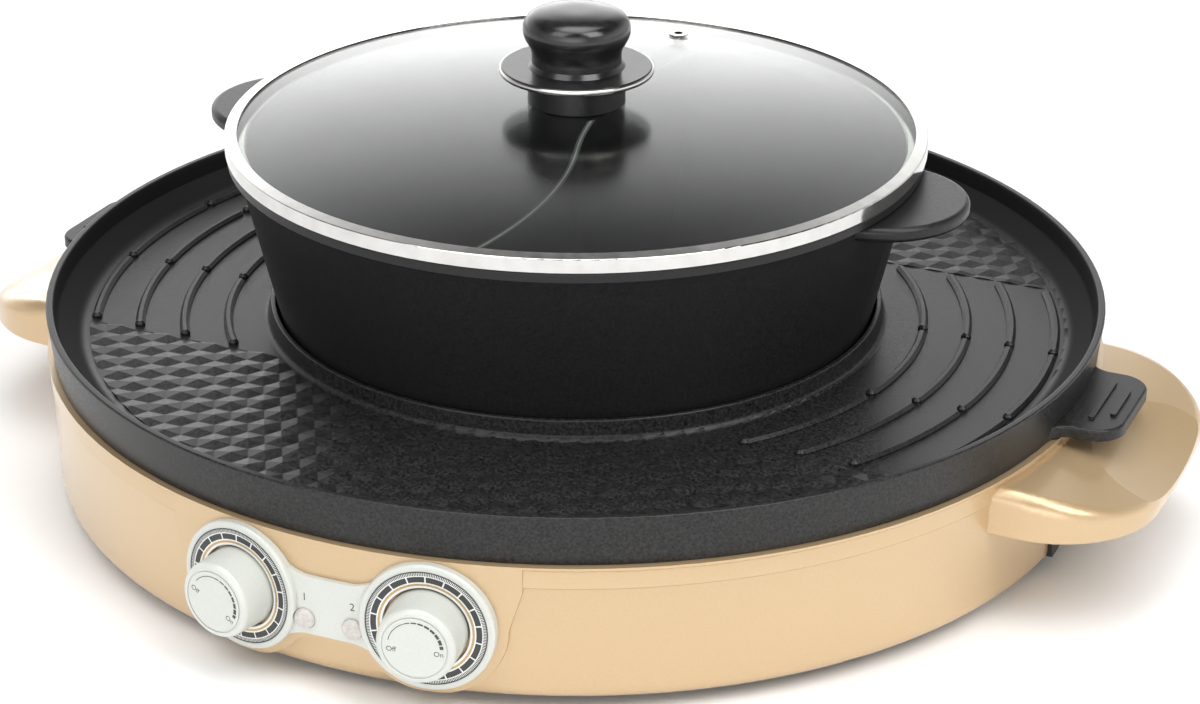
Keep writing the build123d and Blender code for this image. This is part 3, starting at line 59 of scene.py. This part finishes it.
# Studio: the floor's half width in metres, the room's brightness by height and from left to right,
# and each soft box as its place and size in metres and its power in watts
FLOOR_HALF = 6.0
ROOM_STRENGTH = 3.0
ROOM_RISE = ((0.15, "#FFFFFF"), (0.42, "#C6C6C6"), (0.62, "#2C2C2C"), (0.88, "#2C2C2C"), (0.95, "#EFEFEF"))
ROOM_ACROSS = ((0.0, "#747474"), (0.36, "#FFFFFF"), (0.54, "#FFFFFF"), (0.72, "#787878"), (1.0, "#BCBCBC"))
LIGHT_TARGET = (0.0, 0.0, 0.06)
SOFT_BOXES = {
    "top_box": ((0.0, 0.4, 2.6), (1.6, 1.6), 14),
    "left_key": ((-0.47, -1.20, 1.53), (0.9, 1.1), 9),
    "right_key": ((1.20, -0.47, 1.53), (0.9, 1.2), 18),
}

# Grain of the materials: the span of the noise that their colours and roughness follow, and its fineness
GRAIN_SPAN = (0.3, 0.7)
GRAIN_DETAIL = 3.0

# Grill pan: its rim, and how much of the wall's matt coat and painted shade shows at which radius, in
# millimetres
PAN_RIM_R = 230.0
PAN_WALL_STOPS = ((214.0, "#000000"), (217.0, "#FFFFFF"), (226.4, "#FFFFFF"), (226.9, "#000000"))
# The near-black colour of the steep wall inside the rim is painted shade; its high roughness is the matt coat
PAN_WALL_SHADE_COLOUR = "#030303"
PAN_WALL_ROUGHNESS = 0.8

# Pot's divider, in millimetres: the sway of its two arcs, the pot's lip beyond their ends,
# and the painted highlight line on its top, with its width and its distance from the divider's ends
DIVIDER_SWAY = 12.0
LIP_OVERHANG = 2.4
HIGHLIGHT_LINE_W = 0.7
HIGHLIGHT_LINE_INSET = 1.0
HIGHLIGHT_LINE_STEPS = 24

# Trim ring of the lid knob's finger guard: section points as radius and height, in millimetres
GUARD_T = 3.0
GUARD_TRIM = ((32.3, -1.1), (32.8, -1.1), (33.1, -0.6), (33.1, 0.6), (32.8, 1.1), (32.3, 1.1))

# Control panel, in millimetres from the middle of the base
PANEL_R = 230.4
DIAL_OFFSET = 40.0
DIAL_Z = 36.3
DIAL_TURN = asin(DIAL_OFFSET / PANEL_R)
KNOB_FACE = 248.6
TRIM_FACE = 233.6
TRIM_WAIST_FACE = 232.5
LAMP_OFFSET = 10.25
LAMP_TURN = asin(LAMP_OFFSET / PANEL_R)
LAMP_NUMBERS = {"hotpot": "1", "grill": "2"}
LAMP_NUMBER_LIFT = 3.2
LAMP_NUMBER_H = 3.2
DIALS = {"hotpot": -1, "grill": 1}
MARK_TURN = {"hotpot": radians(-27.0), "grill": 0.0}

# Printed scale of a dial ring: radii in millimetres, angles in degrees
INK_T = 0.03
FOOT_FOIL = (18.3, 19.2)
SCALE_BAND = (19.8, 22.1)
SCALE_TICKS = (22.5, 23.8)
SCALE_RIM = (23.8, 24.3)
SCALE_PARTS = 18
SCALE_GAP = 1.7
SCALE_PART_STEPS = 4
TICKS_PER_PART = 12
TICK_SHARE = 0.55
TICK_STEPS = 1

# Printed arc on a knob's face: a thin line that grows into dashes, in millimetres and degrees
ARC_R = 10.6
ARC_LINE = (168.0, 112.0)
ARC_LINE_W = 0.28
ARC_LINE_STEPS = 12
DASHES = 8
DASH_START = 111.0
DASH_STOP = 4.0
DASH_PITCH = 14.2
DASH_LENGTH = 11.6
DASH_FIRST_W = 0.40
DASH_GROWTH = 0.15
DASH_STEPS = 3
WORD_H = 2.1
WORD_DROP = 1.6
WORD_SIDE = 9.3
CAPITAL_SHARE = 0.7   # height of a capital letter as a share of the lettering's size


def srgb(code):
    """A hex colour as linear red, green, blue and alpha."""
    parts = [int(code[i:i + 2], 16) / 255 for i in (1, 3, 5)]
    return [c / 12.92 if c <= 0.04045 else ((c + 0.055) / 1.055) ** 2.4 for c in parts] + [1.0]


def add(tree, kind, inputs=None, stops=(), **settings):
    """A node with its settings, a ramp's stops, and inputs that are numbers, colours or other outputs."""
    made = tree.nodes.new(kind)
    for key, value in settings.items():
        setattr(made, key, value)
    for index, (place, code) in enumerate(stops):
        stop = made.color_ramp.elements[index] if index < 2 else made.color_ramp.elements.new(place)
        stop.position = place
        stop.color = srgb(code)
    for key, value in (inputs or {}).items():
        if isinstance(value, bpy.types.NodeSocket):
            tree.links.new(value, made.inputs[key])
        else:
            made.inputs[key].default_value = value
    return made


def grained(name, size_mm, low, high, height_mm, gloss, sockets):
    """A material whose colour, roughness and bump follow one soft grain of a size in millimetres.

    Low and high are the two colours of the grain, gloss is the roughness that goes with each,
    and sockets holds what is the same all over the surface.
    """
    made = bpy.data.materials.new(name)
    made.use_nodes = True
    tree = made.node_tree
    tree.nodes.clear()
    start, end = GRAIN_SPAN
    place = add(tree, "ShaderNodeTexCoord").outputs["Object"]
    noise = add(tree, "ShaderNodeTexNoise", {
        "Vector": place, "Scale": 1 / (size_mm * MM), "Detail": GRAIN_DETAIL})
    grain = noise.outputs["Fac"]
    colour = add(tree, "ShaderNodeValToRGB", {"Fac": grain}, stops=((start, low), (end, high)))
    rough = add(tree, "ShaderNodeMapRange", {
        "Value": grain, "From Min": start, "From Max": end, "To Min": gloss[0], "To Max": gloss[1]})
    bump = add(tree, "ShaderNodeBump", {"Height": grain, "Distance": height_mm * MM})
    shader = add(tree, "ShaderNodeBsdfPrincipled", {
        "Base Color": colour.outputs["Color"], "Roughness": rough.outputs["Result"],
        "Normal": bump.outputs["Normal"], **sockets})
    add(tree, "ShaderNodeOutputMaterial", {"Surface": shader.outputs["BSDF"]})
    return made


def pearl_gold_lacquer():
    """Moulded ABS sprayed with pearl gold lacquer: fine flake under a clear coat, so a soft wide sheen."""
    # Flakes of about 0.1 mm are drawn at 0.7 mm, so that they show
    return grained("pearl_gold_lacquer", 0.7, "#C7AB84", "#CCB088", 0.0005, (0.30, 0.36),
                   {"Metallic": 0.45, "Coat Weight": 0.8, "Coat Roughness": 0.12})


def pearl_silver_lacquer():
    """Moulded ABS sprayed with pearl silver lacquer: pale, with a soft sheen."""
    # Flakes of about 0.1 mm are drawn at 0.7 mm, so that they show
    return grained("pearl_silver_lacquer", 0.7, "#CACDC6", "#D0D2CC", 0.0003, (0.30, 0.36),
                   {"Metallic": 0.05, "Coat Weight": 0.3, "Coat Roughness": 0.15})


def nonstick_cast(name, low, high, gloss):
    """Die-cast aluminium with a sprayed non-stick coat: satin black, with fine lighter specks."""
    # Specks of about 0.3 mm are drawn at 1.2 mm, so that they show
    return grained(name, 1.2, low, high, 0.04, gloss, {"IOR": 1.4})


def pan_cast():
    """The pan's non-stick coat: satin on the cooking floor, matt on the steep wall inside the rim, where its
    near-black colour is painted shade.
    """
    made = nonstick_cast("charcoal_nonstick_cast", "#080808", "#303030", (0.29, 0.46))
    tree = made.node_tree
    shader = tree.nodes["Principled BSDF"]
    place = add(tree, "ShaderNodeTexCoord").outputs["Object"]
    flat = add(tree, "ShaderNodeMapping", {"Vector": place, "Scale": (1, 1, 0)}).outputs["Vector"]
    radius = add(tree, "ShaderNodeVectorMath", {0: flat}, operation="LENGTH").outputs["Value"]
    share = add(tree, "ShaderNodeMath", {0: radius, 1: PAN_RIM_R * MM}, operation="DIVIDE").outputs["Value"]
    stops = [(r / PAN_RIM_R, code) for r, code in PAN_WALL_STOPS]
    matt_and_shade = add(tree, "ShaderNodeValToRGB", {"Fac": share}, stops=stops).outputs["Color"]
    # Painted shade: the wall inside the rim takes the near-black colour, and the matt coat takes its
    # roughness
    wall_coat_and_shade = (("Base Color", "RGBA", srgb(PAN_WALL_SHADE_COLOUR)), ("Roughness", "FLOAT", PAN_WALL_ROUGHNESS))
    for socket, kind, wall_coat_value in wall_coat_and_shade:
        coat = shader.inputs[socket].links[0].from_socket
        mixed = add(tree, "ShaderNodeMix", {"Factor": matt_and_shade, "A": coat, "B": wall_coat_value}, data_type=kind)
        tree.links.new(mixed.outputs["Result"], shader.inputs[socket])
    return made


def lid_glass():
    """Pressed and tempered soda-lime glass with a soft shine, and a grey-green tint darker than the glass's
    own: painted shade over the pot's inside seen through it.
    """
    # The sheet is too thin to bend the view, so its body has a low index and its skin carries the shine
    return grained("tempered_glass_with_painted_shade_tint", 40.0, "#D6DAD8", "#DCE0DE", 0.001, (0.0, 0.02),
                   {"Transmission Weight": 1.0, "IOR": 1.05, "Coat Weight": 0.9, "Coat Roughness": 0.18})


def lamp_lens():
    """Moulded translucent polycarbonate, pale pink over an unlit neon lamp."""
    return grained("pink_polycarbonate", 1.5, "#C9B4B0", "#DACBC6", 0.02, (0.12, 0.22),
                   {"Subsurface Weight": 0.3, "Coat Weight": 0.5})


METAL = {"Metallic": 1.0}
MATERIALS = {
    "gold_shell": pearl_gold_lacquer(),
    "nonstick_cast": pan_cast(),
    "pot_cast": nonstick_cast("black_nonstick_cast", "#191919", "#232323", (0.30, 0.40)),
    # Rolled and polished stainless steel: a clear reflection, a little soft in places
    "polished_steel": grained("polished_stainless_steel", 8.0, "#CDCCC9", "#DAD9D6", 0.001, (0.08, 0.16),
                              METAL),
    "clear_glass": lid_glass(),
    # Moulded phenolic resin: deep black with a soft polish
    "black_gloss": grained("black_phenolic", 3.0, "#191919", "#222222", 0.002, (0.17, 0.24), {"IOR": 1.6}),
    "silver_plastic": pearl_silver_lacquer(),
    "lamp_lens": lamp_lens(),
    # Printed aluminium foil: pale silver with a soft sheen under the print
    "dial_print": grained("silver_foil", 0.8, "#E2E4E0", "#ECEEEA", 0.001, (0.30, 0.36), {"Metallic": 0.4}),
    # Moulded polypropylene with a spark-eroded grain
    "black_plastic": grained("black_polypropylene", 0.9, "#121212", "#1C1C1C", 0.05, (0.5, 0.6), {}),
    # Moulded silicone rubber, matt
    "rubber": grained("black_silicone_rubber", 1.2, "#101010", "#181818", 0.03, (0.7, 0.8), {}),
    # Aluminised steel sheet with its spangle
    "sheet_steel": grained("aluminised_steel", 6.0, "#A9A9A7", "#BDBDBA", 0.01, (0.32, 0.44), METAL),
    # Steel sheath of a heating tube, oxidised brown-grey
    "heater_sheath": grained("oxidised_steel_sheath", 5.0, "#4C4845", "#635D58", 0.02, (0.45, 0.55), METAL),
    # Aluminium as cast, with a granular skin
    "cast_plate": grained("cast_aluminium", 1.5, "#8E8E8D", "#A4A4A2", 0.05, (0.45, 0.55), METAL),
    # Moulded phenolic switch body, cream
    "switch_body": grained("cream_phenolic", 2.0, "#D2C9B3", "#DDD5C1", 0.02, (0.45, 0.55), {}),
    # Zinc-plated steel: pale grey with a soft shine
    "shaft_steel": grained("zinc_plated_steel", 2.0, "#B2B3B2", "#C4C5C4", 0.01, (0.25, 0.35), METAL),
    # Plated brass: warm yellow with a soft shine
    "brass": grained("plated_brass", 2.0, "#C9A768", "#D6B77B", 0.01, (0.24, 0.32), METAL),
    # Glazed steatite ceramic: off-white and glossy
    "ceramic_block": grained("glazed_steatite", 4.0, "#E4DFD3", "#EEEAE1", 0.01, (0.15, 0.25), {}),
    # Woven glass-fibre sleeve, drawn as a coarse fleck
    "wire_cover": grained("glass_fibre_sleeve", 0.8, "#A8A39C", "#C2BDB5", 0.1, (0.75, 0.85), {}),
    # Thin glass of a neon lamp
    "neon_glass": grained("neon_lamp_glass", 8.0, "#F0CDBB", "#F6DCCE", 0.001, (0.03, 0.07),
                          {"Transmission Weight": 0.9, "IOR": 1.5}),
}

# Pad-printing inks: matt dark grey, a little uneven, darker on the dial rings than on the knobs
GREY_INK = grained("grey_pad_print", 0.5, "#3A3B3A", "#474847", 0.001, (0.45, 0.55), {})
DARK_INK = grained("dark_pad_print", 0.5, "#323333", "#3F4040", 0.001, (0.40, 0.50), {})
# Painted highlight on the divider's top edge: a dull silver line
PAINTED_HIGHLIGHT_METAL = grained("painted_highlight_silver", 2.0, "#9A9A98", "#B4B4B2", 0.005, (0.32, 0.42), METAL)
# Metal foil ring round each knob with a satin shine, tinted warm gold: a painted reflection of the gold shell
# in the recess round the knob
FOIL_WITH_PAINTED_GOLD_REFLECTION = grained("foil_painted_gold_reflection", 0.8, "#B79C74", "#C9AE86", 0.001, (0.30, 0.36), METAL)


def dress_nodes():
    """Gives every CAD node the material of its slot."""
    for part in frame["record"]["subparts"]:
        made = MATERIALS[part["material_slot"]]
        mesh = frame["nodes"][part["node"]].data
        if mesh.materials:
            for index in range(len(mesh.materials)):
                mesh.materials[index] = made
        else:
            mesh.materials.append(made)


def put_in_scene(name, data):
    """A new object in the scene, at the origin."""
    made = bpy.data.objects.new(name, data)
    bpy.context.scene.collection.objects.link(made)
    return made


def as_mesh(name, shape):
    """The mesh of a finished shape."""
    mesh = bpy.data.meshes.new(name)
    shape.to_mesh(mesh)
    shape.free()
    return mesh


def close_seams(shape):
    """Merges the points that a spin leaves doubled, and turns the faces outwards."""
    bmesh.ops.remove_doubles(shape, verts=shape.verts[:], dist=MERGE_DIST * MM)
    bmesh.ops.recalc_face_normals(shape, faces=shape.faces[:])


def show_piece(name, mesh, finish, body):
    """A finished piece that rides on a body and takes its finish from a slot."""
    mesh.materials.clear()
    mesh.materials.append(finish)
    piece = put_in_scene(name, mesh)
    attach(piece, body)


def panel_matrix(turn, out_mm, z_mm):
    """Place on the panel: X along it, Y up it and Z out of it."""
    columns = Matrix(((cos(turn), 0, sin(turn)), (sin(turn), 0, -cos(turn)), (0, 1, 0))).to_4x4()
    centre = Vector((sin(turn), -cos(turn), 0)) * out_mm * MM + Vector((0, 0, z_mm * MM))
    return Matrix.Translation(centre) @ columns


def print_word(name, word, height_mm, place, body):
    """A short printed word or number as a thin mesh of ink."""
    curve = bpy.data.curves.new(name, "FONT")
    curve.body = word
    curve.size = height_mm * MM / CAPITAL_SHARE
    curve.align_x = "CENTER"
    curve.align_y = "CENTER"
    curve.extrude = INK_T * MM / 2
    lettering = bpy.data.objects.new(name + "_lettering", curve)
    mesh = bpy.data.meshes.new_from_object(lettering)
    bpy.data.objects.remove(lettering)
    mesh.transform(place)
    show_piece(name, mesh, GREY_INK, body)


def arc_strip(film, radii, first, last, steps):
    """A flat strip between two radii in millimetres and two angles in degrees, added to a film."""
    turn = Matrix.Rotation(radians(first), 4, "Z")
    ends = [film.verts.new(turn @ Vector((r * MM, 0, 0))) for r in radii]
    edge = film.edges.new(ends)
    bmesh.ops.spin(film, geom=[*ends, edge], cent=(0, 0, 0), axis=(0, 0, 1),
                   angle=radians(last - first), steps=steps, use_merge=last - first == FULL_TURN)


def lay_strips(name, film, place, finish, body):
    """Flat strips, made a thin film of ink or metal."""
    close_seams(film)
    bmesh.ops.solidify(film, geom=film.faces[:], thickness=INK_T * MM)
    bmesh.ops.recalc_face_normals(film, faces=film.faces[:])
    mesh = as_mesh(name, film)
    mesh.transform(place)
    show_piece(name, mesh, finish, body)


def print_scale(name, side):
    """Scale round a knob: a thin metal line tinted gold as painted reflection, dark parts with gaps between,
    fine ticks and a dark rim line.
    """
    place = panel_matrix(side * DIAL_TURN, TRIM_FACE + INK_T, DIAL_Z)
    foil = bmesh.new()
    arc_strip(foil, FOOT_FOIL, 0, FULL_TURN, RING_STEPS)
    lay_strips(name + "_dial_foot", foil, place, FOIL_WITH_PAINTED_GOLD_REFLECTION, "base")
    scale = bmesh.new()
    arc_strip(scale, SCALE_RIM, 0, FULL_TURN, RING_STEPS)
    pitch = FULL_TURN / SCALE_PARTS
    tick = pitch / TICKS_PER_PART
    for part in range(SCALE_PARTS):
        first = (part + 0.5) * pitch
        arc_strip(scale, SCALE_BAND, first + SCALE_GAP / 2, first + pitch - SCALE_GAP / 2, SCALE_PART_STEPS)
        for k in range(TICKS_PER_PART):
            arc_strip(scale, SCALE_TICKS, first + k * tick, first + (k + TICK_SHARE) * tick, TICK_STEPS)
    lay_strips(name + "_dial_scale", scale, place, DARK_INK, "base")


def print_knob(name, side):
    """Print on a knob's face: an arc that grows from a thin line into thick dashes, between Off and On."""
    mark = Matrix.Rotation(MARK_TURN[name], 4, "Z")
    face = panel_matrix(side * DIAL_TURN, KNOB_FACE + INK_T, DIAL_Z) @ mark
    arc = bmesh.new()
    arc_strip(arc, (ARC_R - ARC_LINE_W / 2, ARC_R + ARC_LINE_W / 2), *ARC_LINE, ARC_LINE_STEPS)
    for k in range(DASHES):
        first = DASH_START - k * DASH_PITCH
        half = (DASH_FIRST_W + k * DASH_GROWTH) / 2
        last = max(first - DASH_LENGTH, DASH_STOP)
        arc_strip(arc, (ARC_R - half, ARC_R + half), first, last, DASH_STEPS)
    lay_strips(name + "_knob_scale", arc, face, GREY_INK, name + "_dial")
    for word, across in (("Off", -WORD_SIDE), ("On", WORD_SIDE)):
        place = face @ Matrix.Translation((across * MM, -WORD_DROP * MM, -INK_T / 2 * MM))
        print_word(name + "_" + word.lower() + "_print", word, WORD_H, place, name + "_dial")


def print_marks():
    """All print on the controls: two scales, the knobs' faces and a plain number above each pilot lamp."""
    for name, side in DIALS.items():
        print_scale(name, side)
        print_knob(name, side)
        lamp = panel_matrix(side * LAMP_TURN, TRIM_WAIST_FACE + INK_T / 2, DIAL_Z + LAMP_NUMBER_LIFT)
        print_word(name + "_lamp_number", LAMP_NUMBERS[name], LAMP_NUMBER_H, lamp, "base")


def divider_painted_highlight():
    """Painted highlight lines on the divider's top, one along each arc, where its edge catches the light."""
    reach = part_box("pot")[1][1] / MM - LIP_OVERHANG
    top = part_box("pot_divider")[1]
    bow = (reach ** 2 / 4 + DIVIDER_SWAY ** 2) / (2 * DIVIDER_SWAY)
    middle_end = degrees(asin(reach / 2 / bow))
    wall_end = degrees(asin((reach / 2 - top[1] / MM + HIGHLIGHT_LINE_INSET) / bow))
    centre = Matrix.Translation(((DIVIDER_SWAY - bow) * MM, -reach / 2 * MM, top[2] + INK_T * MM))
    for end, turn in (("front", 0.0), ("back", pi)):
        film = bmesh.new()
        arc_strip(film, (bow - HIGHLIGHT_LINE_W / 2, bow + HIGHLIGHT_LINE_W / 2), wall_end, middle_end, HIGHLIGHT_LINE_STEPS)
        place = Matrix.Rotation(turn, 4, "Z") @ centre
        lay_strips("divider_painted_highlight_" + end, film, place, PAINTED_HIGHLIGHT_METAL, "cooking_pot")


def guard_trim():
    """Polished steel trim pressed on the edge of the lid knob's finger guard."""
    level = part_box("lid_knob_base")[1][2] - GUARD_T * MM / 2
    ring = bmesh.new()
    section = [ring.verts.new((r * MM, 0, level + z * MM)) for r, z in GUARD_TRIM]
    edges = [ring.edges.new((section[k - 1], section[k])) for k in range(len(section))]
    bmesh.ops.spin(ring, geom=section + edges, cent=(0, 0, 0), axis=(0, 0, 1), angle=2 * pi,
                   steps=RING_STEPS, use_merge=True)
    close_seams(ring)
    mesh = as_mesh("knob_guard_trim", ring)
    mesh.shade_smooth()
    show_piece("knob_guard_trim", mesh, MATERIALS["polished_steel"], "lid")


def floor():
    """Plain floor with matt white paint, under the cooker."""
    sheet = bmesh.new()
    bmesh.ops.create_grid(sheet, x_segments=1, y_segments=1, size=FLOOR_HALF)
    plane = put_in_scene("floor", as_mesh("floor", sheet))
    paint = grained("white_studio_floor", 300.0, "#FAFAFA", "#FDFDFD", 0.001, (0.6, 0.7), {})
    plane.data.materials.append(paint)


def soft_light(name, place, size, power):
    """A rectangular soft box that looks at the cooker."""
    lamp = bpy.data.lights.new(name, "AREA")
    lamp.shape = "RECTANGLE"
    lamp.size, lamp.size_y = size
    lamp.energy = power
    made = put_in_scene(name, lamp)
    made.location = place
    made.rotation_euler = (Vector(LIGHT_TARGET) - Vector(place)).to_track_quat("-Z", "Y").to_euler()


def room():
    """A pale room: bright low down and overhead, dark between, and dimmer on the left and right."""
    world = bpy.data.worlds.new("studio_room")
    world.use_nodes = True
    tree = world.node_tree
    look = add(tree, "ShaderNodeTexCoord").outputs["Generated"]
    height = add(tree, "ShaderNodeSeparateXYZ", {"Vector": look}).outputs["Z"]
    rise = add(tree, "ShaderNodeValToRGB", {"Fac": height}, stops=ROOM_RISE)
    aside = add(tree, "ShaderNodeVectorMath", {0: look, 1: CAMERA_RIGHT}, operation="DOT_PRODUCT")
    across = add(tree, "ShaderNodeMapRange", {
        "Value": aside.outputs["Value"], "From Min": -1.0, "From Max": 1.0})
    turn = add(tree, "ShaderNodeValToRGB", {"Fac": across.outputs["Result"]}, stops=ROOM_ACROSS)
    both = add(tree, "ShaderNodeMix", {
        "Factor": 1.0, "A": rise.outputs["Color"], "B": turn.outputs["Color"]},
        data_type="RGBA", blend_type="MULTIPLY")
    back = tree.nodes["Background"]
    back.inputs["Strength"].default_value = ROOM_STRENGTH
    tree.links.new(both.outputs["Result"], back.inputs["Color"])
    bpy.context.scene.world = world


def studio():
    """A pale room with soft boxes overhead and on both sides of the camera, shown with a plain tone curve."""
    room()
    for name, (place, size, power) in SOFT_BOXES.items():
        soft_light(name, place, size, power)
    bpy.context.scene.view_settings.view_transform = "Standard"


def camera():
    """The photograph's camera."""
    lens = bpy.data.cameras.new("photo_camera")
    lens.sensor_fit = "HORIZONTAL"
    lens.sensor_width = SENSOR_WIDTH
    lens.lens = CAMERA_FOCAL
    made = put_in_scene("photo_camera", lens)
    look = Vector(CAMERA_FORWARD).to_track_quat("-Z", "Y").to_matrix().to_4x4()
    made.matrix_world = Matrix.Translation(CAMERA_PLACE) @ look @ Matrix.Rotation(CAMERA_ROLL, 4, "Z")
    bpy.context.scene.camera = made


dress_nodes()
print_marks()
divider_painted_highlight()
guard_trim()
floor()
studio()
camera()
